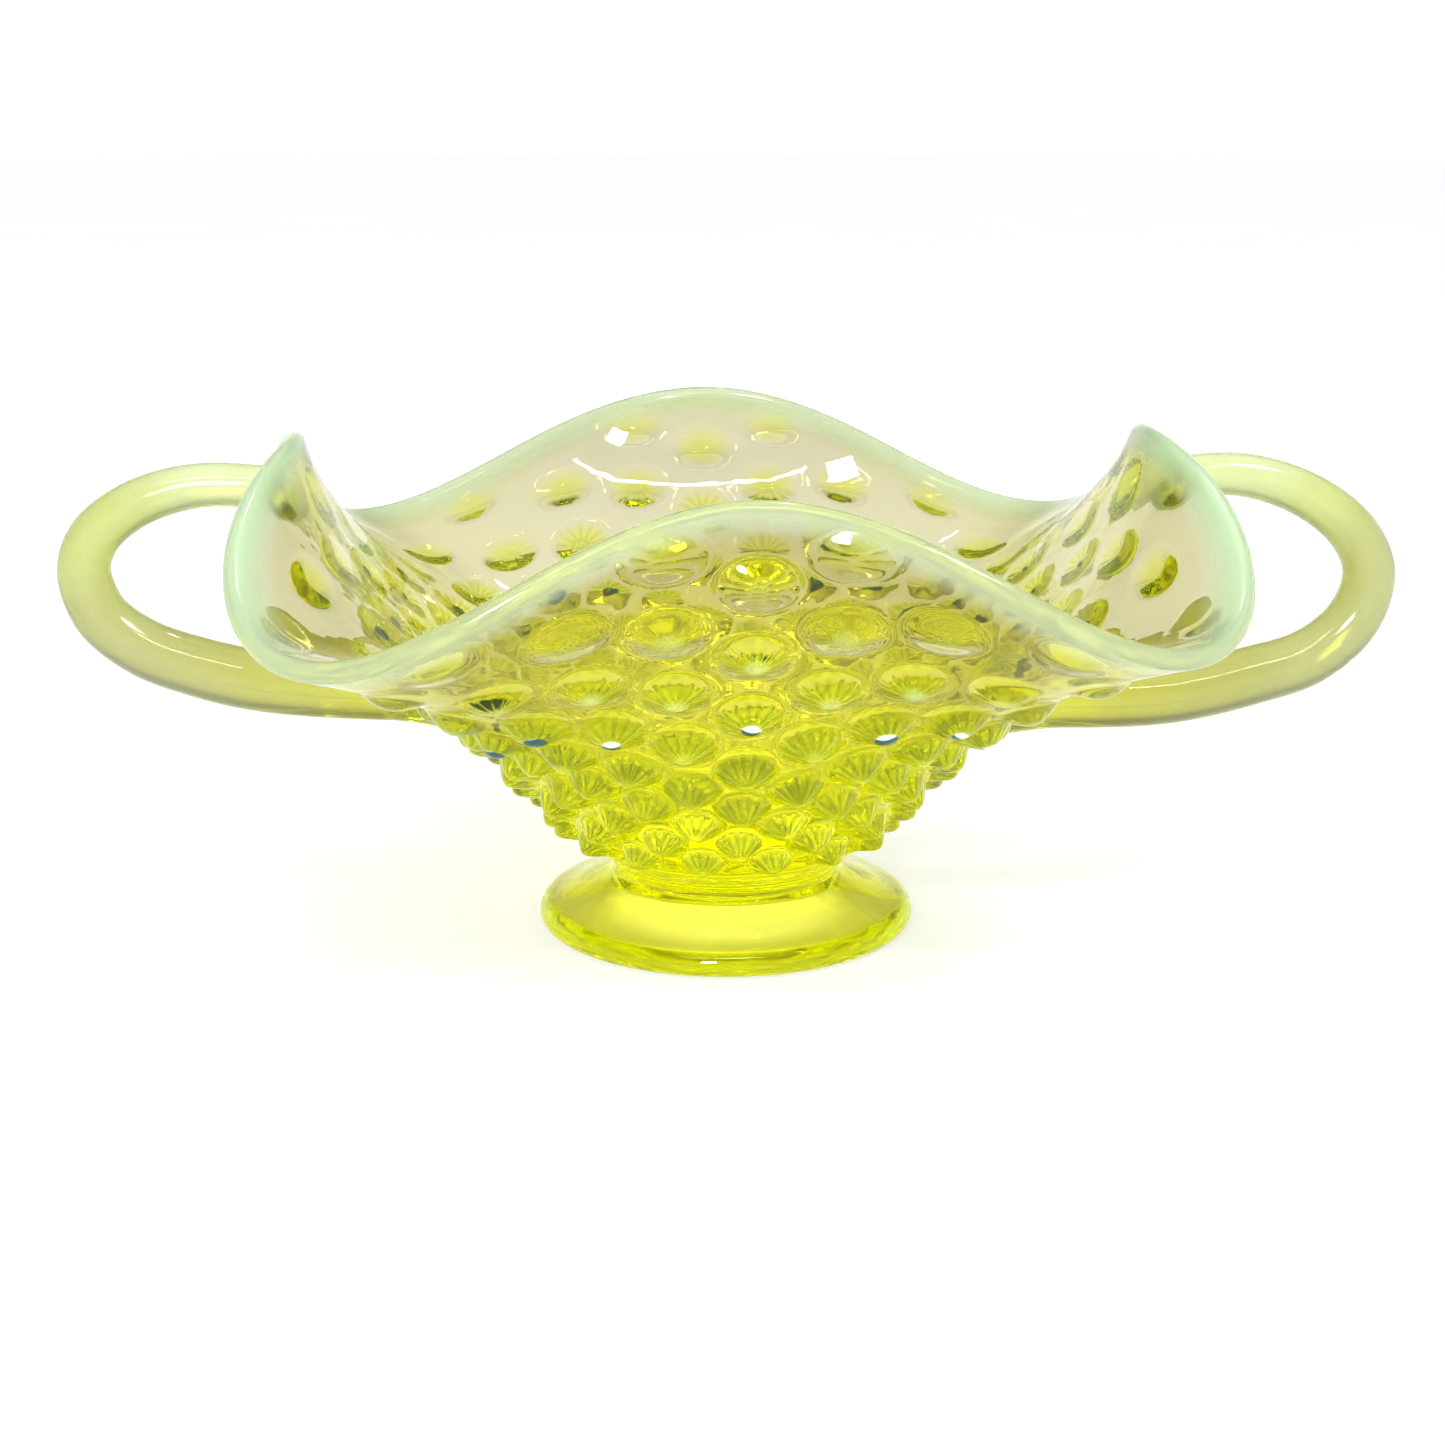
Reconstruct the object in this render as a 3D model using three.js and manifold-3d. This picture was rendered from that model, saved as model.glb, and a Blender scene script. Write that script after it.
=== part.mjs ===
// A footed glass dish in millimetres, +Z up: a hobnail bowl with a crimped rim, two loop handles,
// a short collar and a round foot.
// The origin is the middle of the foot's underside. +X runs through the right-hand handle.
import * as THREE from "three";
import { ParametricGeometry } from "three/addons/geometries/ParametricGeometry.js";
import { mergeVertices } from "three/addons/utils/BufferGeometryUtils.js";
import Module from "manifold-3d";

const wasm = await Module();
wasm.setup();

const GAP = 0.3; // left between two pieces that touch

// Foot and collar
const FOOT_RADIUS = 28.7;
const FOOT_EDGE_RADIUS = 1.6;
const FOOT_SHOULDER_RADIUS = 2.6;
const FOOT_CROWN_RADIUS = 19;
const FOOT_TOP = 8.2;
const COLLAR_RADIUS = 17.2;
const COLLAR_TOP = 10.3;
const ROUND_SIDES = 48;

// Bowl: the outside of the wall before crimping is a cubic curve from base to rim
const BASE_RADIUS = 18.3;
const BASE_BAND_TOP = 13.4;
const WALL = new THREE.CubicBezierCurve(
  new THREE.Vector2(22.8, 14.2),
  new THREE.Vector2(36, 32),
  new THREE.Vector2(49.5, 43),
  new THREE.Vector2(71.6, 63.8),
);
const FLOOR_HEIGHT = 17.5; // inside the bowl, in the middle
const FLOOR_START = 0.12; // along the wall, where the inside turns into the floor

// The crimp: waves round the rim, as [cycles per turn, millimetres]
const RADIUS_WAVES = [[2, 3.4], [4, -9.4], [6, -0.9]];
const HEIGHT_WAVES = [[4, 10.8], [8, -1]];
const RADIUS_WAVES_START = 0.68; // along the wall, where each wave begins
const HEIGHT_WAVES_START = 0.4;

// Hobs: staggered rows that are evenly spaced along the wall
const HOBS_PER_ROW = 16;
const HOB_ROWS = 13;
const FIRST_ROW = 0.045;
const ROW_PITCH = 0.0755;
const HOB_HALF_ANGLE = THREE.MathUtils.degToRad(8);
const HOB_HALF_LENGTH = 0.052;

// Handles: each loop's centre line in the XZ plane, as [distance from the axis, height] from the
// rim round to the body. The loops are bent by hand, so the two differ a little.
const HANDLE_LINES = {
  handle_right: [
    [58, 65.4], [69, 67.8], [79, 67.8], [89, 64.2], [95.8, 58.6], [98.3, 52.6],
    [96.3, 45.6], [90, 39.9], [80.5, 36.8], [68, 34.2], [53, 33.8], [38, 34.5],
  ],
  handle_left: [
    [58, 65.4], [69, 67.8], [79, 67.8], [87.4, 65], [92.8, 60.6], [94.6, 55.6],
    [92.6, 49], [86.8, 44], [78.5, 40.7], [69, 38.4], [54, 37], [38, 36.6],
  ],
};
const HANDLE_TOP_RADIUS = 3.45;
const HANDLE_LOWER_RADIUS = 5;
const HANDLE_SIDES = 12;
const HANDLE_STEPS = 26;

const COLUMNS = HOBS_PER_ROW * 4; // vertices round the bowl, so that every hob has one at its tip

const waves = (list, angle) =>
  list.reduce((sum, [cycles, size]) => sum + size * Math.cos(cycles * angle), 0);

const ramp = (along, start) => Math.max(0, (along - start) / (1 - start));

// A point on the smooth outside of the wall; along is 0 at the base and 1 at the rim.
function wallPoint(along, angle) {
  const { x, y } = WALL.getPoint(along);
  const radius = x + waves(RADIUS_WAVES, angle) * ramp(along, RADIUS_WAVES_START) ** 2.2;
  const height = y + waves(HEIGHT_WAVES, angle) * ramp(along, HEIGHT_WAVES_START);
  return new THREE.Vector3(radius * Math.cos(angle), radius * Math.sin(angle), height);
}

// The wall's upward direction and outward normal, from two small steps along the surface.
function wallFrame(along, angle) {
  const step = 1e-3;
  const up = wallPoint(along + step, angle)
    .sub(wallPoint(along - step, angle))
    .normalize();
  const around = wallPoint(along, angle + step).sub(wallPoint(along, angle - step));
  return { up, out: around.cross(up).normalize() };
}

const wallThickness = (along) => 2.9 + 3.7 * (1 - along) ** 3 + 0.6 * along ** 8;

// How far the nearest hob stands out of the wall. Hobs are taller cones low on the body.
function hobHeight(along, angle) {
  const nearest = Math.round((along - FIRST_ROW) / ROW_PITCH);
  const pitch = (2 * Math.PI) / HOBS_PER_ROW;
  let height = 0;
  for (const row of [nearest - 1, nearest, nearest + 1]) {
    if (row < 0 || row >= HOB_ROWS) continue;
    const start = row % 2 === 0 ? pitch / 2 : 0;
    const turn = (angle - start) / pitch;
    const aside = (turn - Math.round(turn)) * pitch;
    const away = along - FIRST_ROW - row * ROW_PITCH;
    const distance = Math.hypot(aside / HOB_HALF_ANGLE, away / HOB_HALF_LENGTH);
    const tall = 2.8 - (1.6 * row) / (HOB_ROWS - 1);
    height = Math.max(height, tall * (1 - distance));
  }
  return height;
}

// One ring of vertices on the outside, the rim's rounded edge or the inside of the bowl.
const outside = (along, clearance) => (angle) =>
  wallPoint(along, angle).addScaledVector(
    wallFrame(along, angle).out,
    hobHeight(along, angle) + clearance,
  );

const rimEdge = (turn, clearance) => (angle) => {
  const { up, out } = wallFrame(1, angle);
  const half = wallThickness(1) / 2;
  return wallPoint(1, angle)
    .addScaledVector(out, -half + (half + clearance) * Math.cos(turn))
    .addScaledVector(up, (half + clearance) * Math.sin(turn));
};

const inside = (along) => (angle) =>
  wallPoint(along, angle).addScaledVector(wallFrame(along, angle).out, -wallThickness(along));

const floor = (share) => (angle) => {
  const edge = inside(FLOOR_START)(angle);
  const rise = edge.z - FLOOR_HEIGHT;
  return new THREE.Vector3(edge.x * share, edge.y * share, FLOOR_HEIGHT + rise * share ** 3);
};

const level = (radius, height) => (angle) =>
  new THREE.Vector3(radius * Math.cos(angle), radius * Math.sin(angle), height);

const steps = (from, to, count) =>
  Array.from({ length: count + 1 }, (_, i) => from + ((to - from) * i) / count);

// A closed surface through the rings, whose first and last ring lie on the axis.
function surfaceThrough(rings) {
  const last = rings.length - 1;
  const place = (u, v, target) => {
    const angle = ((Math.round(u * COLUMNS) % COLUMNS) / COLUMNS) * 2 * Math.PI;
    target.copy(rings[Math.round(v * last)](angle));
  };
  return new ParametricGeometry(place, COLUMNS, last);
}

function outerRings(clearance) {
  const halfRow = ROW_PITCH / 2;
  const top = FIRST_ROW + HOB_ROWS * ROW_PITCH - halfRow;
  return [
    level(0, COLLAR_TOP + GAP - clearance),
    level(BASE_RADIUS + clearance, COLLAR_TOP + GAP - clearance),
    level(BASE_RADIUS + clearance, BASE_BAND_TOP),
    ...steps(FIRST_ROW - halfRow, top, HOB_ROWS * 2).map((along) => outside(along, clearance)),
    ...steps(0, Math.PI / 2, 2).map((turn) => rimEdge(turn, clearance)),
  ];
}

function bowlGeometry() {
  return surfaceThrough([
    ...outerRings(0),
    ...steps(Math.PI * 0.75, Math.PI, 1).map((turn) => rimEdge(turn, 0)),
    ...steps(0.93, FLOOR_START, 9).map(inside),
    ...[0.7, 0.4, 0].map(floor),
  ]);
}

// The whole space under the bowl's outside and rim, grown by the gap.
const bowlClearance = () => surfaceThrough([...outerRings(GAP), level(0, FLOOR_HEIGHT)]);

function solidOf(geometry) {
  const bare = geometry.clone();
  bare.deleteAttribute("normal");
  bare.deleteAttribute("uv");
  const merged = mergeVertices(bare, 1e-3);
  return new wasm.Manifold(
    new wasm.Mesh({
      numProp: 3,
      vertProperties: merged.attributes.position.array,
      triVerts: new Uint32Array(merged.index.array),
    }),
  );
}

function geometryOf(solid) {
  const { vertProperties, triVerts } = solid.getMesh();
  const geometry = new THREE.BufferGeometry();
  geometry.setAttribute("position", new THREE.BufferAttribute(vertProperties, 3));
  geometry.setIndex(new THREE.BufferAttribute(triVerts, 1));
  geometry.computeVertexNormals();
  return geometry;
}

// A capped cylinder bent along the loop, thin at the rim and thicker along the lower arm.
function handleGeometry(name, turn) {
  const line = new THREE.CatmullRomCurve3(
    HANDLE_LINES[name].map(([x, z]) => new THREE.Vector3(x, 0, z)),
    false,
    "centripetal",
  );
  const geometry = new THREE.CylinderGeometry(1, 1, 1, HANDLE_SIDES, HANDLE_STEPS);
  const position = geometry.attributes.position;
  const across = new THREE.Vector3(0, 1, 0);
  for (let i = 0; i < position.count; i++) {
    const along = 0.5 - position.getY(i);
    const radius = THREE.MathUtils.lerp(
      HANDLE_TOP_RADIUS,
      HANDLE_LOWER_RADIUS,
      THREE.MathUtils.smoothstep(along, 0.1, 0.7),
    );
    const away = across.clone().cross(line.getTangentAt(along));
    const point = line
      .getPointAt(along)
      .addScaledVector(away, position.getX(i) * radius)
      .addScaledVector(across, position.getZ(i) * radius);
    position.setXYZ(i, point.x, point.y, point.z);
  }
  geometry.rotateZ(turn);
  return geometryOf(solidOf(geometry).subtract(solidOf(bowlClearance())));
}

function roundPiece(outline) {
  const points = outline.map(([radius, height]) => new THREE.Vector2(radius, height));
  return new THREE.LatheGeometry(points, ROUND_SIDES).rotateX(Math.PI / 2);
}

function footGeometry() {
  const lower = steps(-Math.PI / 2, 0, 3).map((turn) => [
    FOOT_RADIUS + FOOT_EDGE_RADIUS * (Math.cos(turn) - 1),
    FOOT_EDGE_RADIUS * (1 + Math.sin(turn)),
  ]);
  const upper = steps(Math.PI / 8, Math.PI / 2 - 0.25, 2).map((turn) => [
    FOOT_RADIUS + FOOT_SHOULDER_RADIUS * (Math.cos(turn) - 1),
    FOOT_EDGE_RADIUS + FOOT_SHOULDER_RADIUS * Math.sin(turn),
  ]);
  return roundPiece([
    [0, 0],
    ...lower,
    ...upper,
    [FOOT_CROWN_RADIUS + 2, 6.2],
    [FOOT_CROWN_RADIUS, 7.4],
    [COLLAR_RADIUS, FOOT_TOP],
    [0, FOOT_TOP],
  ]);
}

function collarGeometry() {
  return roundPiece([
    [0, FOOT_TOP + GAP],
    [COLLAR_RADIUS, FOOT_TOP + GAP],
    [COLLAR_RADIUS, COLLAR_TOP],
    [0, COLLAR_TOP],
  ]);
}

function piece(name, geometry, colour, roughness) {
  const material = new THREE.MeshStandardMaterial({ color: colour, roughness, metalness: 0 });
  const mesh = new THREE.Mesh(geometry, material);
  mesh.name = name;
  return mesh;
}

const dish = new THREE.Group();
dish.name = "uranium_glass_dish";
dish.add(
  piece("foot", footGeometry(), 0xd3da4a, 0.05),
  piece("collar", collarGeometry(), 0xd9df28, 0.05),
  piece("bowl", bowlGeometry(), 0xd5e02e, 0.06),
  piece("handle_right", handleGeometry("handle_right", 0), 0xd2deaa, 0.08),
  piece("handle_left", handleGeometry("handle_left", Math.PI), 0xd2deaa, 0.08),
);

export default dish;
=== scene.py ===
"""A footed hobnail dish of opalescent yellow-green glass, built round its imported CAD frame."""

import math

import bpy
import numpy as np
from mathutils import Matrix, Vector
from mathutils.bvhtree import BVHTree


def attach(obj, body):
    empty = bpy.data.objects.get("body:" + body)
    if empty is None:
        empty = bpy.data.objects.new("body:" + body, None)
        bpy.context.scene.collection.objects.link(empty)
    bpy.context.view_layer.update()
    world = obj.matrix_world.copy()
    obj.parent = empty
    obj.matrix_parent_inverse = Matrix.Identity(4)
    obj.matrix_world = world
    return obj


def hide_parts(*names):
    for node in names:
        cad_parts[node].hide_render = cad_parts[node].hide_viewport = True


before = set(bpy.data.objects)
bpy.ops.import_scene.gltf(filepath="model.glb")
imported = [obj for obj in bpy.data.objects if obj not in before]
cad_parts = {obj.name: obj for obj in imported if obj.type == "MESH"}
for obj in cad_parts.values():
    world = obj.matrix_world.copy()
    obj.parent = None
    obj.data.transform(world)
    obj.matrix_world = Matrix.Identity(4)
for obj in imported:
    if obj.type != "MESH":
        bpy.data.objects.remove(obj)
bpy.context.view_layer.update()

MM = 0.001

# Lengths below are in millimetres, unless they say otherwise.

# Foot
FOOT_RADIUS = 28.7
FOOT_EDGE = 1.6  # rounding under the foot's edge
FOOT_SHOULDER = 2.6  # rounding over it
FOOT_CROWN_RADIUS = 19
FOOT_CROWN_HEIGHT = 7.1
FOOT_SLOPE_BEND = 1.1  # 1 would be a straight slope
RECESS_RADIUS = 25.0
RECESS_FLAT = 10.5
RECESS_DEPTH = 6.2
RECESS_SHARPNESS = 12  # higher for harder bends where the recess starts and ends

# Collar
COLLAR_RADIUS = 17.2
COLLAR_BOTTOM = 8.35
COLLAR_TOP = 10.45
COLLAR_FLARE = 0.5

# Bowl
BASE_RADIUS = 18.3
BASE_EDGE = 0.6  # rounding of the bowl's lowest edge

# The outside of the bowl's wall before crimping, from base to rim, as [radius, height]
WALL = np.array([[22.8, 14.2], [36.0, 32.0], [49.5, 43.0], [71.6, 63.8]])
FLOOR_HEIGHT = 17.5
FLOOR_START = 0.12  # where the floor meets the inside of the wall, as a share of the way up
# The crimped rim: waves in radius and height, as (cycles round the bowl, size), and the shares of
# the way up the wall where they start
RADIUS_WAVES = [(2, 3.4), (4, -9.4), (6, -0.9)]
HEIGHT_WAVES = [(4, 10.8), (8, -1.0)]
RADIUS_WAVES_START = 0.68
RADIUS_WAVES_GROWTH = 2.2
HEIGHT_WAVES_START = 0.4
WALL_THICKNESS = 2.7
EXTRA_AT_BASE = 3.9
EXTRA_AT_RIM = 0.2

# Hobs. The rows' places are shares of the way up the wall.
HOBS_PER_ROW = 16
HOB_ROWS = 13
FIRST_ROW = 0.045
ROW_PITCH = 0.0755
HOB_STREAKS = 13  # faint streaks that run from each hob's tip to its edge

# Handles, as (distance from the axis, height) along each loop's middle
HANDLE_LINES = {
    "handle_right": [
        (58, 65.4), (69, 67.8), (79, 67.8), (89, 64.2), (95.8, 58.6), (98.3, 52.6),
        (96.3, 45.6), (90, 39.9), (80.5, 36.8), (68, 34.2), (53, 33.8), (38, 34.5),
    ],
    "handle_left": [
        (58, 65.4), (69, 67.8), (79, 67.8), (87.4, 65), (92.8, 60.6), (94.6, 55.6),
        (92.6, 49), (86.8, 44), (78.5, 40.7), (69, 38.4), (54, 37), (38, 36.6),
    ],
}
HANDLE_TOP_RADIUS = 3.2
HANDLE_LOWER_RADIUS = 4.6
HANDLE_TOP_FLARE = 1.2
HANDLE_ROOT_FLARE = 1.6
HANDLE_REACH = 9  # half the width of the strip of wall that a handle can touch
SINK = 0.8  # how far a handle's end reaches into the wall
COVERED_DEPTH = 0.05  # a handle's point this far inside the wall is hidden

# How finely each mesh is divided
COLUMNS = HOBS_PER_ROW * 28
HOB_RINGS = 144
RIM_BAND_RINGS = 7
RIM_EDGE_RINGS = 13
INSIDE_RINGS = 36
FLOOR_RINGS = 12
ROUND_SIDES = 192
HANDLE_RINGS = 180
HANDLE_SIDES = 48
CURVE_STEPS = 24  # points between two given ones, while a curve is being measured

JOINT_SLOT = 1  # each piece's second material, for faces hidden where two pieces are fused


def smoothstep(low, high, value):
    share = np.clip((value - low) / (high - low), 0, 1)
    return share * share * (3 - 2 * share)


# The bowl's surface. "along" runs from 0 at the base to 1 at the rim; arrays give a whole ring.


def waves(pairs, angle):
    """The sum of a wave for each (cycles, size)."""
    return sum(size * np.cos(cycles * angle) for cycles, size in pairs)


def ramp(along, start):
    """From 0 at the start and below it to 1 at the rim."""
    return max(0.0, (along - start) / (1 - start))


def wall_point(along, angle):
    """A point of the outside of the wall, without its hobs."""
    a, b, c, d = WALL
    rest = 1 - along
    radius, height = (
        rest**3 * a + 3 * rest**2 * along * b + 3 * rest * along**2 * c + along**3 * d
    )
    growth = ramp(along, RADIUS_WAVES_START) ** RADIUS_WAVES_GROWTH
    radius = radius + waves(RADIUS_WAVES, angle) * growth
    height = height + waves(HEIGHT_WAVES, angle) * ramp(along, HEIGHT_WAVES_START)
    return np.stack([radius * np.cos(angle), radius * np.sin(angle), height + 0 * angle], -1)


def unit(vectors):
    return vectors / np.linalg.norm(vectors, axis=-1, keepdims=True)


def wall_frame(along, angle):
    """The directions up the wall and out of it."""
    step = 1e-3
    up = wall_point(along + step, angle) - wall_point(along - step, angle)
    around = wall_point(along, angle + step) - wall_point(along, angle - step)
    return unit(up), unit(np.cross(around, up))


def wall_thickness(along):
    return WALL_THICKNESS + EXTRA_AT_BASE * (1 - along) ** 3 + EXTRA_AT_RIM * along**8


def hob_shape(row):
    """Half width, half length and height in mm, roundness of the tip and softness of the edge."""
    share = row / (HOB_ROWS - 1)
    half_width = 3.5 + 2.8 * share
    half_length = 3.1 + 5.0 * share * (1 - share) + 0.7 * share
    height = 2.5 + 3.2 * share - 4.8 * share**2
    upper = float(smoothstep(0.5, 0.95, share))
    roundness = 0.30 + 0.5 * upper
    softness = 0.04 + 0.5 * upper
    return half_width, half_length, height, roundness, softness


def hob_relief(along, angle):
    """How far the hobs stand out of the wall, how near each point is to a tip (0 to 1), and
    where it lies on its hob: aside and away, each from -1 to 1 across the hob."""
    relief = np.zeros_like(angle)
    tip = np.zeros_like(angle)
    aside = np.ones_like(angle)
    away = np.ones_like(angle)
    nearest = round((along - FIRST_ROW) / ROW_PITCH)
    pitch = 2 * math.pi / HOBS_PER_ROW
    for row in (nearest - 1, nearest, nearest + 1):
        if not 0 <= row < HOB_ROWS:
            continue
        half_width, half_length, height, roundness, softness = hob_shape(row)
        centre = FIRST_ROW + row * ROW_PITCH
        start = pitch / 2 if row % 2 == 0 else 0
        turn = (angle - start) / pitch
        middle = start + np.round(turn) * pitch
        gap = wall_point(along, angle) - wall_point(centre, middle)
        up, out = wall_frame(centre, middle)
        length = np.sum(gap * up, -1) / half_length
        width = np.sum(gap * np.cross(up, out), -1) / half_width
        edge = math.hypot(1, roundness)
        cone = (edge - np.hypot(np.hypot(width, length), roundness)) / (edge - roundness)
        cone = np.clip(cone, 0, 1)
        shape = (1 + softness) * cone**2 / (cone + softness)
        relief = np.maximum(relief, height * shape)
        nearer = shape > tip
        tip = np.where(nearer, shape, tip)
        aside = np.where(nearer, width, aside)
        away = np.where(nearer, length, away)
    return relief, tip, aside, away


# Rings: each function below gives another that turns angles into the points of one ring.


def outside(along):
    def ring(angle):
        relief = hob_relief(along, angle)[0]
        return wall_point(along, angle) + wall_frame(along, angle)[1] * relief[:, None]

    return ring


def rim_edge(turn):
    """A ring of the rounded rim, from the outside of the wall at 0 to its inside at half a turn."""

    def ring(angle):
        up, out = wall_frame(1, angle)
        half = wall_thickness(1) / 2
        shift = out * (half * math.cos(turn) - half) + up * half * math.sin(turn)
        return wall_point(1, angle) + shift

    return ring


def inside(along):
    def ring(angle):
        return wall_point(along, angle) - wall_frame(along, angle)[1] * wall_thickness(along)

    return ring


def floor_ring(share):
    """A ring of the bowl's floor, at a share of the way from its middle to its edge."""

    def ring(angle):
        edge = inside(FLOOR_START)(angle)
        rise = edge[:, 2] - FLOOR_HEIGHT
        return np.stack([edge[:, 0] * share, edge[:, 1] * share, FLOOR_HEIGHT + rise * share**3], -1)

    return ring


def level(radius, height):
    def ring(angle):
        return np.stack([radius * np.cos(angle), radius * np.sin(angle), height + 0 * angle], -1)

    return ring


# Meshes


def mesh_object(name, points, faces):
    mesh = bpy.data.meshes.new(name)
    mesh.from_pydata((np.asarray(points) * MM).tolist(), [], faces)
    mesh.validate()
    piece = bpy.data.objects.new(name, mesh)
    bpy.context.scene.collection.objects.link(piece)
    mesh.polygons.foreach_set("use_smooth", [True] * len(mesh.polygons))
    return piece


def closed_rings(name, rings, sides):
    """One closed surface through the rings, with a fan of faces across the first and the last."""
    angle = np.arange(sides) / sides * 2 * math.pi
    grid = np.array([ring(angle) for ring in rings])
    count = len(rings)
    points = grid.reshape(-1, 3)
    first = points.shape[0]
    points = np.vstack([points, grid[0].mean(0), grid[-1].mean(0)])
    after = np.roll(np.arange(sides), -1)
    faces = []
    for j in range(count - 1):
        low, high = j * sides, (j + 1) * sides
        for i in range(sides):
            faces.append((low + i, low + after[i], high + after[i], high + i))
    top = (count - 1) * sides
    for i in range(sides):
        faces.append((first, int(after[i]), i))
        faces.append((first + 1, top + i, top + int(after[i])))
    return mesh_object(name, points, [tuple(map(int, face)) for face in faces])


def set_values(piece, name, values):
    """Stores one number for each vertex, for the materials to read."""
    attribute = piece.data.attributes.new(name, "FLOAT", "POINT")
    attribute.data.foreach_set("value", np.asarray(values, dtype=np.float32))


def rim_milk(along, angle):
    """The milky rim: dense round the corners, softer on the high waves at the front and back."""
    peak = smoothstep(0.35, 0.95, np.abs(np.sin(angle)))
    strength = 0.96 - 0.42 * peak
    return strength * smoothstep(0.945, 0.997, along)


def make_bowl():
    """The bowl, and how many of its vertices, from the first, are on the outside below the rim."""
    top = FIRST_ROW + (HOB_ROWS - 0.5) * ROW_PITCH
    outer = list(np.linspace(0.0, top, HOB_RINGS)) + list(np.linspace(top, 1, RIM_BAND_RINGS)[1:-1])
    lip = arc((BASE_RADIUS - BASE_EDGE, COLLAR_TOP + BASE_EDGE), BASE_EDGE, -90, 0, 7)
    fillet = [(BASE_RADIUS, 12.0), (18.5, 12.5), (19.0, 12.95), (20.0, 13.4), (21.4, 13.8)]
    band = [level(radius, height) for radius, height in lip + fillet]
    edge = np.linspace(0, math.pi, RIM_EDGE_RINGS)
    inner = list(np.linspace(1, FLOOR_START, INSIDE_RINGS)[1:])
    shares = [math.cos(turn) ** 0.8 for turn in np.linspace(0, math.pi / 2, FLOOR_RINGS)[1:-1]]
    rings = band + [outside(a) for a in outer] + [rim_edge(t) for t in edge]
    rings += [inside(a) for a in inner] + [floor_ring(s) for s in shares]
    bowl = closed_rings("bowl_glass", rings, COLUMNS)
    angle = np.arange(COLUMNS) / COLUMNS * 2 * math.pi
    along = [0.0] * len(band) + outer + [1.0] * len(edge) + inner + [0.0] * len(shares)
    set_values(bowl, "along", np.append(np.repeat(along, COLUMNS), [0, 0]))
    set_values(bowl, "milk", np.append(np.concatenate([rim_milk(a, angle) for a in along]), [0, 0]))
    hobs = [hob_relief(a, angle) for a in outer]
    for place, name in enumerate(("tip", "aside", "away"), 1):
        values = np.zeros((len(rings), COLUMNS))
        values[len(band) : len(band) + len(outer)] = [hob[place] for hob in hobs]
        set_values(bowl, name, np.append(values, [0, 0]))
    outer_count = (len(band) + len(outer)) * COLUMNS
    return bowl, outer_count


def make_lathe(name, outline):
    """A round piece from its outline, as (radius, height) from the underside to the top."""
    return closed_rings(name, [level(r, z) for r, z in outline], ROUND_SIDES)


def arc(centre, radius, start, end, count):
    """Points of an arc between two angles in degrees."""
    turns = np.linspace(math.radians(start), math.radians(end), count)
    return [(centre[0] + radius * math.cos(t), centre[1] + radius * math.sin(t)) for t in turns]


def soft_step(share):
    """The share, held between 0 and 1 with both bends rounded."""
    bends = [math.log1p(math.exp(RECESS_SHARPNESS * gap)) for gap in (share, share - 1)]
    return (bends[0] - bends[1]) / RECESS_SHARPNESS


def make_foot():
    """The round foot, hollow beneath: the recess runs parallel to the slope above it."""
    recess = [(1, RECESS_DEPTH), (7, RECESS_DEPTH)]
    for radius in np.linspace(RECESS_FLAT - 2, RECESS_RADIUS + 0.8, 30):
        share = (RECESS_RADIUS - radius) / (RECESS_RADIUS - RECESS_FLAT)
        recess.append((radius, RECESS_DEPTH * soft_step(share)))
    recess.append((RECESS_RADIUS + 1.4, 0))
    lower = arc((FOOT_RADIUS - FOOT_EDGE, FOOT_EDGE), FOOT_EDGE, -90, 0, 8)
    upper = arc((FOOT_RADIUS - FOOT_SHOULDER, FOOT_EDGE), FOOT_SHOULDER, 6, 76, 9)
    start_radius, start_height = upper[-1]
    slope = []
    for radius in np.linspace(start_radius, FOOT_CROWN_RADIUS, 14)[1:]:
        share = (start_radius - radius) / (start_radius - FOOT_CROWN_RADIUS)
        rise = (FOOT_CROWN_HEIGHT - start_height) * share**FOOT_SLOPE_BEND
        slope.append((radius, start_height + rise))
    fillet = [(18.5, 7.3), (18.1, 7.5), (17.75, 7.75), (17.4, 8.05), (COLLAR_RADIUS, COLLAR_BOTTOM)]
    outline = recess + lower + upper + slope + fillet + [(1, COLLAR_BOTTOM)]
    return make_lathe("foot_glass", outline)


def make_collar():
    waist = []
    for share in np.linspace(0, 1, 9):
        height = COLLAR_BOTTOM + (COLLAR_TOP - COLLAR_BOTTOM) * share
        waist.append((COLLAR_RADIUS + COLLAR_FLARE * share**3, height))
    return make_lathe("collar_glass", [(1, COLLAR_BOTTOM)] + waist + [(1, COLLAR_TOP)])


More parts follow.
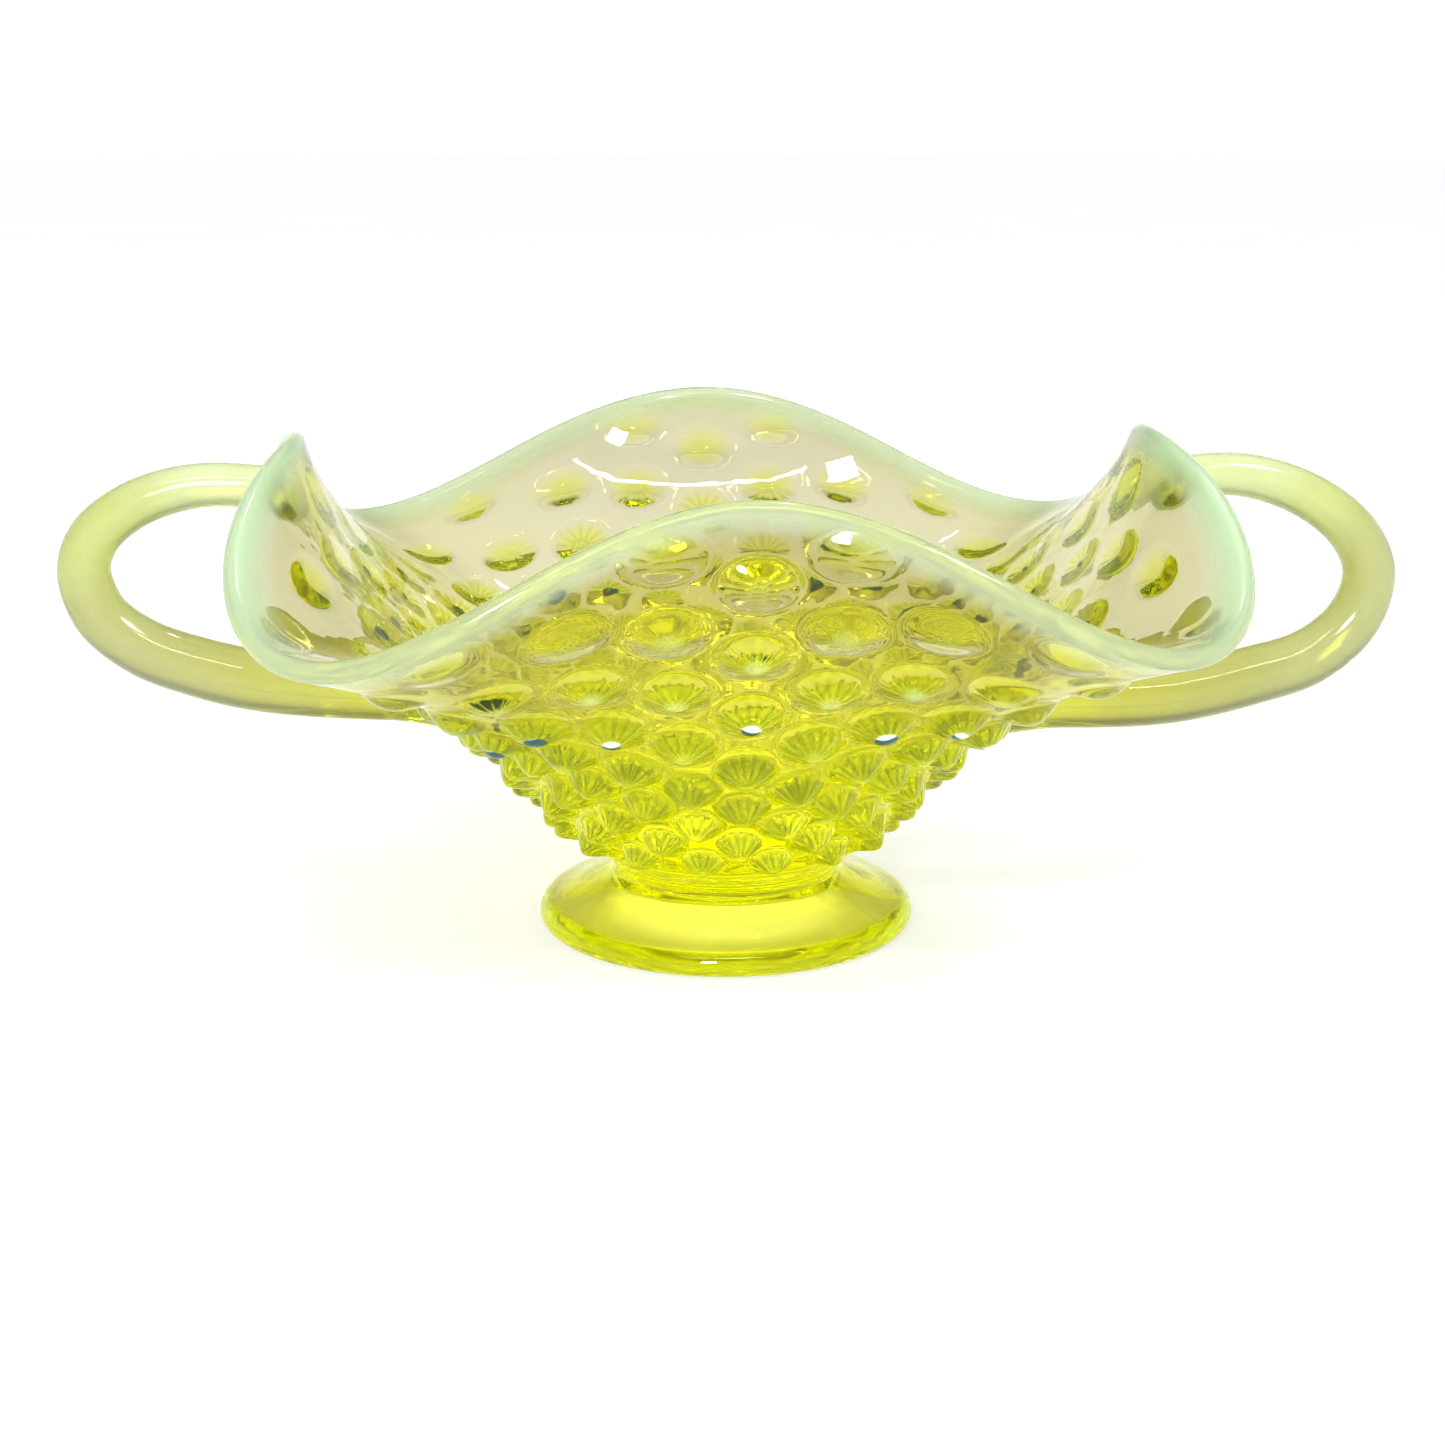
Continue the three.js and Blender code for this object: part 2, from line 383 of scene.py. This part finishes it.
def centripetal(points, count):
    """Evenly spaced points on a centripetal Catmull-Rom curve through the given points."""
    points = np.array(points, dtype=float)
    points = np.vstack([2 * points[0] - points[1], points, 2 * points[-1] - points[-2]])
    fine = []
    for i in range(1, len(points) - 2):
        p0, p1, p2, p3 = points[i - 1 : i + 3]
        t1 = np.linalg.norm(p1 - p0) ** 0.5
        t2 = t1 + np.linalg.norm(p2 - p1) ** 0.5
        t3 = t2 + np.linalg.norm(p3 - p2) ** 0.5
        for t in np.linspace(t1, t2, CURVE_STEPS, endpoint=False):
            a1 = p0 * (t1 - t) / t1 + p1 * t / t1
            a2 = p1 * (t2 - t) / (t2 - t1) + p2 * (t - t1) / (t2 - t1)
            a3 = p2 * (t3 - t) / (t3 - t2) + p3 * (t - t2) / (t3 - t2)
            b1 = a1 * (t2 - t) / t2 + a2 * t / t2
            b2 = a2 * (t3 - t) / (t3 - t1) + a3 * (t - t1) / (t3 - t1)
            fine.append(b1 * (t2 - t) / (t2 - t1) + b2 * (t - t1) / (t2 - t1))
    fine = np.array(fine + [points[-2]])
    length = np.append(0, np.cumsum(np.linalg.norm(np.diff(fine, axis=0), axis=1)))
    even = np.linspace(0, length[-1], count)
    return np.stack([np.interp(even, length, fine[:, k]) for k in range(fine.shape[1])], -1)


def handle_radius(share):
    body = HANDLE_TOP_RADIUS + (HANDLE_LOWER_RADIUS - HANDLE_TOP_RADIUS) * smoothstep(0.1, 0.7, share)
    top_flare = HANDLE_TOP_FLARE * smoothstep(0.10, 0.0, share)
    return body + top_flare + HANDLE_ROOT_FLARE * smoothstep(0.88, 1.0, share)


def handle_spine(name):
    """The middle of a handle's loop, and the side it is on: 1 or -1."""
    side = 1 if name == "handle_right" else -1
    line = centripetal(HANDLE_LINES[name], HANDLE_RINGS)
    return np.stack([side * line[:, 0], 0 * line[:, 0], line[:, 1]], -1), side


def make_handle(name):
    spine, side = handle_spine(name)
    tangent = unit(np.gradient(spine, axis=0))
    across = np.array([0.0, side, 0.0])
    away = unit(np.cross(across, tangent))
    share = np.linspace(0, 1, HANDLE_RINGS)
    radius = handle_radius(share)

    def ring(i):
        return lambda angle: (
            spine[i]
            + away[i] * (radius[i] * np.cos(angle))[:, None]
            + across * (radius[i] * np.sin(angle))[:, None]
        )

    handle = closed_rings(name + "_glass", [ring(i) for i in range(HANDLE_RINGS)], HANDLE_SIDES)
    set_values(handle, "along", np.append(np.repeat(share, HANDLE_SIDES), [0, 1]))
    return handle


# Where two pieces of glass are fused, the hidden faces are clear, so that light goes straight through.


def mark_faces(piece, hidden):
    """Gives the joint material to the faces whose points are all hidden."""
    for face in piece.data.polygons:
        if all(hidden[v] for v in face.vertices):
            face.material_index = JOINT_SLOT


def points_of(piece):
    flat = np.empty(len(piece.data.vertices) * 3)
    piece.data.vertices.foreach_get("co", flat)
    return flat.reshape(-1, 3) / MM


def smooth_wall():
    """The outside of the wall without its hobs, for measuring from."""
    sides = 96
    angle = np.arange(sides) / sides * 2 * math.pi
    rings = [wall_point(along, angle) * MM for along in np.linspace(0, 1, 60)]
    points = [Vector(point) for ring in rings for point in ring]
    faces = []
    for j in range(len(rings) - 1):
        for i in range(sides):
            low, after = j * sides + i, j * sides + (i + 1) % sides
            faces.append((low, after, after + sides, low + sides))
    return BVHTree.FromPolygons(points, faces)


def fuse_handle(wall, bowl, outer_count, handle, name):
    """Rests the handle's ends just under the wall's surface, marks their hidden faces, and says
    which of the bowl's points they cover."""
    buried = []
    for vertex in handle.data.vertices:
        spot, normal, _, _ = wall.find_nearest(vertex.co)
        depth = (spot - vertex.co).dot(normal)
        buried.append(depth > COVERED_DEPTH * MM)
        if depth > SINK * MM:
            vertex.co = spot - normal * SINK * MM
    mark_faces(handle, buried)
    spine, _ = handle_spine(name)
    radius = handle_radius(np.linspace(0, 1, HANDLE_RINGS))
    places = points_of(bowl)[:outer_count]
    near = np.nonzero(np.abs(places[:, 1]) < HANDLE_REACH)[0]
    covered = np.zeros(len(bowl.data.vertices), dtype=bool)
    for point, size in zip(spine[::2], radius[::2]):
        gap = np.linalg.norm(places[near] - point, axis=1)
        covered[near[gap < size]] = True
    return covered


# Materials


class Nodes:
    """A short way to add and join shader nodes."""

    def __init__(self, name):
        self.material = bpy.data.materials.new(name)
        self.material.use_nodes = True
        self.tree = self.material.node_tree
        self.tree.nodes.clear()
        self.output = self.add("ShaderNodeOutputMaterial")

    def add(self, kind, **settings):
        node = self.tree.nodes.new(kind)
        for key, value in settings.items():
            setattr(node, key, value)
        return node

    def join(self, source, target):
        self.tree.links.new(source, target)

    def attribute(self, name):
        return self.add("ShaderNodeAttribute", attribute_name=name).outputs["Fac"]

    def math(self, operation, first, second=0.0, clamp=False):
        node = self.add("ShaderNodeMath", operation=operation, use_clamp=clamp)
        for socket, value in zip(node.inputs, (first, second)):
            if isinstance(value, (int, float)):
                socket.default_value = value
            else:
                self.join(value, socket)
        return node.outputs[0]

    def ramp(self, factor, stops):
        """A colour that runs smoothly through the stops, each (place, colour)."""
        node = self.add("ShaderNodeValToRGB")
        node.color_ramp.interpolation = "EASE"
        while len(node.color_ramp.elements) < len(stops):
            node.color_ramp.elements.new(0.5)
        for element, (place, colour) in zip(node.color_ramp.elements, stops):
            element.position = place
            element.color = (*colour, 1)
        self.join(factor, node.inputs[0])
        return node.outputs[0]

    def range(self, value, low, high, out_low, out_high, kind="SMOOTHSTEP"):
        """The value's place between low and high, as a number between out_low and out_high."""
        node = self.add("ShaderNodeMapRange", interpolation_type=kind)
        for name, number in zip(
            ("From Min", "From Max", "To Min", "To Max"), (low, high, out_low, out_high)
        ):
            node.inputs[name].default_value = number
        self.join(value, node.inputs["Value"])
        return node.outputs[0]

    def noise(self, scale, detail):
        """Soft noise, with the scale in patches to a metre."""
        where = self.add("ShaderNodeTexCoord").outputs["Object"]
        node = self.add("ShaderNodeTexNoise")
        node.inputs["Scale"].default_value = scale
        node.inputs["Detail"].default_value = detail
        self.join(where, node.inputs["Vector"])
        return node.outputs["Fac"]

    def mix(self, factor, first, second):
        node = self.add("ShaderNodeMix", data_type="RGBA")
        self.join(factor, node.inputs["Factor"])
        for socket, value in ((node.inputs[6], first), (node.inputs[7], second)):
            if isinstance(value, tuple):
                socket.default_value = (*value, 1)
            else:
                self.join(value, socket)
        return node.outputs[2]


MILK = (0.70, 0.88, 0.70)
# Painted shade: the nearly clear upper wall is greyed, to stand for the darker room seen through the
# glass
CLEAR_WITH_PAINTED_SHADE = (0.73, 0.70, 0.88)
LEMON = (0.98, 0.97, 0.28)
LIME = (0.71, 0.74, 0.006)
# Painted shade: darker green streaks in the hobs stand for the streaks of light bent through the hobs
PAINTED_STREAK_SHADE = (0.36, 0.46, 0.003)
OLIVE = (0.66, 0.68, 0.12)
COLLAR_TINT = (0.92, 0.91, 0.82)
PLATE_TINT = (0.77, 0.755, 0.88)
# Painted glint: white patches on some hob tips stand for reflections of the room's light
PAINTED_GLINT = (0.93, 0.95, 0.94)
PAINTED_DARK_REFLECTION = (0.10, 0.20, 0.21)  # the painted dark reflection in a tip's painted glint
HANDLE_TINTS = [
    (0.0, (0.86, 0.95, 0.96)), (0.28, (0.70, 0.75, 0.60)), (0.45, (0.58, 0.595, 0.52)),
    (0.80, (0.66, 0.655, 0.62)), (1.0, (0.90, 0.92, 0.50)),
]

GLOW_COLOUR = (0.80, 1.0, 0.0, 1)  # a faint painted glow that lifts the glass's darker parts; uranium glass also shines faintly by itself in daylight
BODY_GLOW = 0.02
HANDLE_GLOW = 0.01

# The colour that light takes on inside the glass, and how fast
ABSORB_COLOUR = (1, 1, 0.20, 1)
ABSORB_DENSITY = 250
THICK_COLOUR = (1, 1, 0.32, 1)  # in the collar and foot
THICK_DENSITY = 460

GLASS_IOR = 1.47
COAT_WEIGHT = 0.06
COAT_ROUGHNESS = 0.02
CLEAR_ROUGHNESS = 0.012
MILKY_ROUGHNESS = 0.14
CLOUD_ROUGHNESS = 0.02
MILKY_TRANSMISSION = 0.42
WAVINESS = 0.25
WAVINESS_DEPTH = 0.6
STREAK_DEPTH = 0.5  # of the hobs' streaks, as a share of the glass's own waviness
STREAK_WOBBLE = 5.0
PAINTED_GLINT_CLIMB = 2.6  # how much higher up the wall the painted glints on the tips reach, for each metre towards a handle


def add_absorption(nodes, thick):
    volume = nodes.add("ShaderNodeVolumeAbsorption")
    volume.inputs["Color"].default_value = THICK_COLOUR if thick else ABSORB_COLOUR
    volume.inputs["Density"].default_value = THICK_DENSITY if thick else ABSORB_DENSITY
    nodes.join(volume.outputs[0], nodes.output.inputs["Volume"])


def ripples(nodes):
    """The faint waviness of fire-polished glass."""
    return nodes.noise(120, 2)


def glass_material(name, tint, milkiness, surface=ripples, painted_glint=None, thick=False, glow=0.0):
    """Uranium glass. Tint, milkiness, surface and painted_glint are functions that add nodes: they
    give its colour, where it is milky, the height of its waviness and where painted glints make it
    metallic."""
    nodes = Nodes(name)
    shader = nodes.add("ShaderNodeBsdfPrincipled")
    milk = milkiness(nodes)
    cloud = nodes.noise(90, 3)
    nodes.join(tint(nodes, milk), shader.inputs["Base Color"])
    clearness = nodes.range(milk, 0, 1, 1.0, MILKY_TRANSMISSION, "LINEAR")
    nodes.join(clearness, shader.inputs["Transmission Weight"])
    rough = nodes.range(milk, 0, 1, CLEAR_ROUGHNESS, MILKY_ROUGHNESS, "LINEAR")
    rough = nodes.math("ADD", rough, nodes.math("MULTIPLY", cloud, CLOUD_ROUGHNESS))
    nodes.join(rough, shader.inputs["Roughness"])
    shader.inputs["IOR"].default_value = GLASS_IOR
    if painted_glint:
        nodes.join(painted_glint(nodes), shader.inputs["Metallic"])
    shader.inputs["Emission Color"].default_value = GLOW_COLOUR
    shader.inputs["Emission Strength"].default_value = glow
    shader.inputs["Coat Weight"].default_value = COAT_WEIGHT
    shader.inputs["Coat Roughness"].default_value = COAT_ROUGHNESS
    waviness = nodes.add("ShaderNodeBump")
    waviness.inputs["Strength"].default_value = WAVINESS
    waviness.inputs["Distance"].default_value = WAVINESS_DEPTH * MM
    nodes.join(surface(nodes), waviness.inputs["Height"])
    nodes.join(waviness.outputs[0], shader.inputs["Normal"])
    nodes.join(shader.outputs[0], nodes.output.inputs["Surface"])
    add_absorption(nodes, thick)
    return nodes.material


def hob_streaks(nodes):
    """Streaks from 0 to 1 that fan out from each hob's tip and fade at its edge."""
    turn = nodes.math("ARCTAN2", nodes.attribute("aside"), nodes.attribute("away"))
    wobble = nodes.math("MULTIPLY", nodes.noise(160, 2), STREAK_WOBBLE)
    phase = nodes.math("ADD", nodes.math("MULTIPLY", turn, HOB_STREAKS), wobble)
    tip = nodes.attribute("tip")
    off_edge = nodes.range(tip, 0.05, 0.3, 0, 1)
    off_tip = nodes.range(tip, 0.75, 1, 1, 0)
    lower = nodes.range(nodes.attribute("along"), 0.65, 0.9, 1, 0)
    strength = nodes.math("MULTIPLY", nodes.math("MULTIPLY", off_edge, off_tip), lower)
    return nodes.math("MULTIPLY", nodes.range(nodes.math("COSINE", phase), -0.6, 1, 0, 1), strength)


def painted_glint_tips(nodes):
    """The hobs' tips that carry painted glints and painted dark reflections, as metallic patches: a
    row round the belly and, towards the handles, the rows above it. The patches vary in size from one
    tip to the next."""
    along = nodes.attribute("along")
    place = nodes.add("ShaderNodeSeparateXYZ")
    nodes.join(nodes.add("ShaderNodeTexCoord").outputs["Object"], place.inputs[0])
    sideways = nodes.math("ABSOLUTE", place.outputs["X"])
    lowered = nodes.math("SUBTRACT", along, nodes.math("MULTIPLY", sideways, PAINTED_GLINT_CLIMB))
    above = nodes.range(along, 0.53, 0.55, 0, 1)
    below = nodes.range(lowered, 0.60, 0.62, 1, 0)
    rows = nodes.math("MULTIPLY", above, below)
    shrink = nodes.range(nodes.noise(70, 0), 0.35, 0.65, 0, 0.12)
    upper = nodes.range(along, 0.575, 0.80, 0, 0.12, "LINEAR")
    tip = nodes.math("SUBTRACT", nodes.attribute("tip"), nodes.math("ADD", shrink, upper))
    return nodes.math("MULTIPLY", nodes.range(tip, 0.73, 0.78, 0, 1), rows)


def bowl_surface(nodes):
    return nodes.math("ADD", ripples(nodes), nodes.math("MULTIPLY", hob_streaks(nodes), STREAK_DEPTH))


def bowl_tint(nodes, milk):
    """Lemon low on the wall to nearly clear above, greyed by painted shade, with hobs streaked in
    painted shade, painted glints on some tips and a milky rim.
    """
    along = nodes.attribute("along")
    tip = nodes.attribute("tip")
    # Lemon low on the wall, fading above to clear glass greyed with painted shade
    wall = nodes.mix(nodes.range(along, 0.15, 0.72, 0, 1), LEMON, CLEAR_WITH_PAINTED_SHADE)
    lower = nodes.math(
        "MULTIPLY", nodes.range(tip, 0.03, 0.4, 0, 1), nodes.range(along, 0.55, 0.85, 1, 0)
    )
    upper = nodes.math(
        "MULTIPLY", nodes.range(tip, 0.0, 1.0, 0, 0.6), nodes.range(along, 0.55, 0.85, 0, 1)
    )
    # The hobs' streaks are bumps in the surface and, in colour, painted shade
    fans = nodes.mix(hob_streaks(nodes), LIME, PAINTED_STREAK_SHADE)
    hobs = nodes.mix(nodes.math("ADD", lower, upper), wall, fans)
    glass = nodes.mix(milk, hobs, MILK)
    # Painted glints: white towards the upper side of each chosen tip, painted dark reflection below
    # it, with an uneven edge
    uneven = nodes.range(nodes.noise(70, 1), 0.35, 0.65, -0.22, 0.16)
    side = nodes.math("ADD", nodes.attribute("away"), uneven)
    painted_glint = nodes.mix(nodes.range(side, 0.08, 0.13, 0, 1), PAINTED_DARK_REFLECTION, PAINTED_GLINT)
    return nodes.mix(painted_glint_tips(nodes), glass, painted_glint)


def bowl_milk(nodes):
    """The rim, and fainter milk on the tips of the upper hobs."""
    along = nodes.attribute("along")
    start = nodes.range(along, 0.35, 0.6, 0, 0.6)
    end = nodes.range(along, 0.75, 0.86, 1, 0.2)
    upper = nodes.math("MULTIPLY", start, end)
    tips = nodes.math("MULTIPLY", nodes.range(nodes.attribute("tip"), 0.72, 1.0, 0, 1), upper)
    return nodes.math("MAXIMUM", nodes.attribute("milk"), tips, clamp=True)


def handle_tint(nodes, _milk):
    """Mint where the handle leaves the rim, beige round its bend and clear yellow at its root."""
    streaks = nodes.range(nodes.noise(30, 3), 0.35, 0.65, -0.05, 0.05)
    return nodes.ramp(nodes.math("ADD", nodes.attribute("along"), streaks), HANDLE_TINTS)


def handle_milk(nodes):
    """Milky where the handle leaves the rim, and clearing along its lower arm."""
    along = nodes.attribute("along")
    start = nodes.range(along, 0.0, 0.35, 0.85, 0.60)
    end = nodes.range(along, 0.5, 1.0, 1.0, 0.1)
    wisps = nodes.range(nodes.noise(45, 3), 0.35, 0.65, 0.85, 1.0)
    return nodes.math("MULTIPLY", nodes.math("MULTIPLY", start, end), wisps)


def from_axis(nodes):
    """Each point's distance from the dish's upright axis, in metres."""
    flat = nodes.add("ShaderNodeVectorMath", operation="MULTIPLY")
    nodes.join(nodes.add("ShaderNodeTexCoord").outputs["Object"], flat.inputs[0])
    flat.inputs[1].default_value = (1, 1, 0)
    length = nodes.add("ShaderNodeVectorMath", operation="LENGTH")
    nodes.join(flat.outputs[0], length.inputs[0])
    return length.outputs["Value"]


def body_tint(nodes, _milk):
    """Almost clear at the collar, cooler over the foot's plate and olive round its edge."""
    stops = [(0.60, COLLAR_TINT), (0.67, PLATE_TINT), (0.86, PLATE_TINT), (1.0, OLIVE)]
    share = nodes.range(from_axis(nodes), 0, FOOT_RADIUS * MM, 0, 1, "LINEAR")
    streaks = nodes.range(nodes.noise(40, 2), 0.3, 0.7, -0.015, 0.015)
    return nodes.ramp(nodes.math("ADD", share, streaks), stops)


def plain_milk(nodes):
    """Hardly any milk: a few faint wisps."""
    return nodes.range(nodes.noise(60, 2), 0.3, 0.7, 0.0, 0.03)


def joint_material(name, thick=False):
    """Faces hidden where two pieces are fused: light passes straight through."""
    nodes = Nodes(name)
    shader = nodes.add("ShaderNodeBsdfTransparent")
    nodes.join(shader.outputs[0], nodes.output.inputs["Surface"])
    add_absorption(nodes, thick)
    return nodes.material


def mark_level_faces(piece, heights):
    """Gives the joint material to the faces that lie flat at the given heights."""
    for face in piece.data.polygons:
        flat = abs(face.normal.z) > 0.99
        if flat and any(abs(face.center.z / MM - height) < 0.02 for height in heights):
            face.material_index = JOINT_SLOT


def finish_glass(piece, node, glass, joint):
    """Gives the piece its two materials and its place in the frame."""
    piece.data.materials.append(glass)
    piece.data.materials.append(joint)
    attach(piece, "root")
    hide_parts(node)


# Floor, light and camera, in metres and watts

FLOOR_DROP = 0.0002
FLOOR_SHADES = (0.44, 0.44, 0.44), (0.47, 0.47, 0.47)
FLOOR_GLOW = 0.5
POOL_GLOW = 0.75  # beneath the foot, where light comes up into the glass
POOL_EDGE = 0.8 * COLLAR_RADIUS * MM, 1.2 * COLLAR_RADIUS * MM

# Brightness of the room, from the horizon at 0 to straight up at 1
ROOM_SHADES = [(0.0, 0.86), (0.22, 0.70), (0.40, 0.26), (0.62, 0.26), (0.80, 0.5), (1.0, 0.9)]

LIGHT_BOUNCES = 24


def make_floor():
    """A plain, pale sheet that gives off a little light, and more under the foot."""
    place = (0, 0, -FLOOR_DROP)
    bpy.ops.mesh.primitive_circle_add(vertices=96, radius=4, fill_type="NGON", location=place)
    floor = bpy.context.object
    floor.name = "floor"
    nodes = Nodes("floor_paper")
    shader = nodes.add("ShaderNodeBsdfPrincipled")
    shade = nodes.range(nodes.noise(6, 2), 0, 1, 0.0, 1.0)
    nodes.join(nodes.mix(shade, *FLOOR_SHADES), shader.inputs["Base Color"])
    shader.inputs["Emission Color"].default_value = (1, 1, 1, 1)
    spot = nodes.add("ShaderNodeVectorMath", operation="LENGTH")
    nodes.join(nodes.add("ShaderNodeNewGeometry").outputs["Position"], spot.inputs[0])
    pool = nodes.range(spot.outputs["Value"], *POOL_EDGE, POOL_GLOW, FLOOR_GLOW)
    nodes.join(pool, shader.inputs["Emission Strength"])
    shader.inputs["Roughness"].default_value = 0.9
    shader.inputs["Specular IOR Level"].default_value = 0.1
    nodes.join(shader.outputs[0], nodes.output.inputs["Surface"])
    floor.data.materials.append(nodes.material)


def make_world():
    """A pale room: lighter at the horizon and overhead, with a greyer stretch of wall between."""
    world = bpy.data.worlds.new("studio")
    bpy.context.scene.world = world
    world.use_nodes = True
    tree = world.node_tree
    where = tree.nodes.new("ShaderNodeTexCoord")
    split = tree.nodes.new("ShaderNodeSeparateXYZ")
    shade = tree.nodes.new("ShaderNodeValToRGB")
    while len(shade.color_ramp.elements) < len(ROOM_SHADES):
        shade.color_ramp.elements.new(0.5)
    for element, (height, value) in zip(shade.color_ramp.elements, ROOM_SHADES):
        element.position = height
        element.color = (value * 0.98, value * 0.98, value, 1)
    background = tree.nodes["Background"]
    tree.links.new(where.outputs["Generated"], split.inputs[0])
    tree.links.new(split.outputs["Z"], shade.inputs[0])
    tree.links.new(shade.outputs[0], background.inputs["Color"])


def area_light(name, place, target, size, power):
    light = bpy.data.lights.new(name, "AREA")
    light.shape = "RECTANGLE"
    light.size, light.size_y = size
    light.energy = power
    lamp = bpy.data.objects.new(name, light)
    lamp.location = place
    lamp.rotation_euler = (Vector(target) - Vector(place)).to_track_quat("-Z", "Y").to_euler()
    bpy.context.scene.collection.objects.link(lamp)


def make_lights():
    middle = (0, 0, 0.04)
    area_light("window_left", (-0.23, -0.87, 0.40), (-0.02, 0.06, 0.07), (0.14, 0.22), 2.6)
    area_light("window_right", (0.455, -0.414, 0.83), (0.025, 0.056, 0.06), (0.24, 0.16), 2.6)
    area_light("ceiling", (0.15, 0.42, 0.90), middle, (0.015, 0.05), 0.2)
    area_light("strip", (-0.05, -0.62, 0.80), middle, (0.7, 0.035), 1.6)


CAMERA_DISTANCE = 0.35876
CAMERA_HEIGHT = 0.12513
CAMERA_ASIDE = 0.0005
CAMERA_PITCH = 0.2570  # radians below the level
CAMERA_TURN = 0.0675  # radians to the left of the front
SENSOR_WIDTH = 36
FOCAL_LENGTH = 60.7216


def make_camera():
    data = bpy.data.cameras.new("camera")
    data.sensor_width = SENSOR_WIDTH
    data.lens = FOCAL_LENGTH
    data.clip_start = 0.01
    camera = bpy.data.objects.new("camera", data)
    place = Vector((-CAMERA_ASIDE, -CAMERA_DISTANCE, CAMERA_HEIGHT))
    turn = Matrix.Rotation(-CAMERA_TURN, 4, "Z")
    tilt = Matrix.Rotation(math.pi / 2 - CAMERA_PITCH, 4, "X")
    camera.matrix_world = turn @ Matrix.Translation(place) @ tilt
    bpy.context.scene.collection.objects.link(camera)
    bpy.context.scene.camera = camera


def set_view():
    """Enough bounces for light to pass through every layer of glass, and a clear, bright picture."""
    scene = bpy.context.scene
    scene.view_settings.view_transform = "Standard"
    scene.view_settings.look = "High Contrast"
    scene.view_settings.exposure = -0.1
    scene.cycles.max_bounces = LIGHT_BOUNCES
    scene.cycles.glossy_bounces = LIGHT_BOUNCES
    scene.cycles.transmission_bounces = LIGHT_BOUNCES
    scene.cycles.transparent_max_bounces = LIGHT_BOUNCES


bowl, outer_count = make_bowl()
collar = make_collar()
foot = make_foot()
bowl_glass = glass_material(
    "bowl_opalescent_glass", bowl_tint, bowl_milk, surface=bowl_surface, painted_glint=painted_glint_tips
)
body_glass = glass_material("body_glass", body_tint, plain_milk, thick=True, glow=BODY_GLOW)
handle_glass = glass_material(
    "handle_opalescent_glass", handle_tint, handle_milk, glow=HANDLE_GLOW
)
joint_glass = joint_material("fused_joint")
body_joint = joint_material("body_joint", thick=True)
finish_glass(bowl, "bowl", bowl_glass, joint_glass)
finish_glass(collar, "collar", body_glass, body_joint)
finish_glass(foot, "foot", body_glass, body_joint)
mark_level_faces(bowl, [COLLAR_TOP])
mark_level_faces(collar, [COLLAR_BOTTOM, COLLAR_TOP])
mark_level_faces(foot, [COLLAR_BOTTOM])

wall = smooth_wall()
covered = np.zeros(len(bowl.data.vertices), dtype=bool)
for name in HANDLE_LINES:
    handle = make_handle(name)
    covered |= fuse_handle(wall, bowl, outer_count, handle, name)
    finish_glass(handle, name, handle_glass, joint_glass)
mark_faces(bowl, covered)

make_floor()
make_world()
make_lights()
make_camera()
set_view()
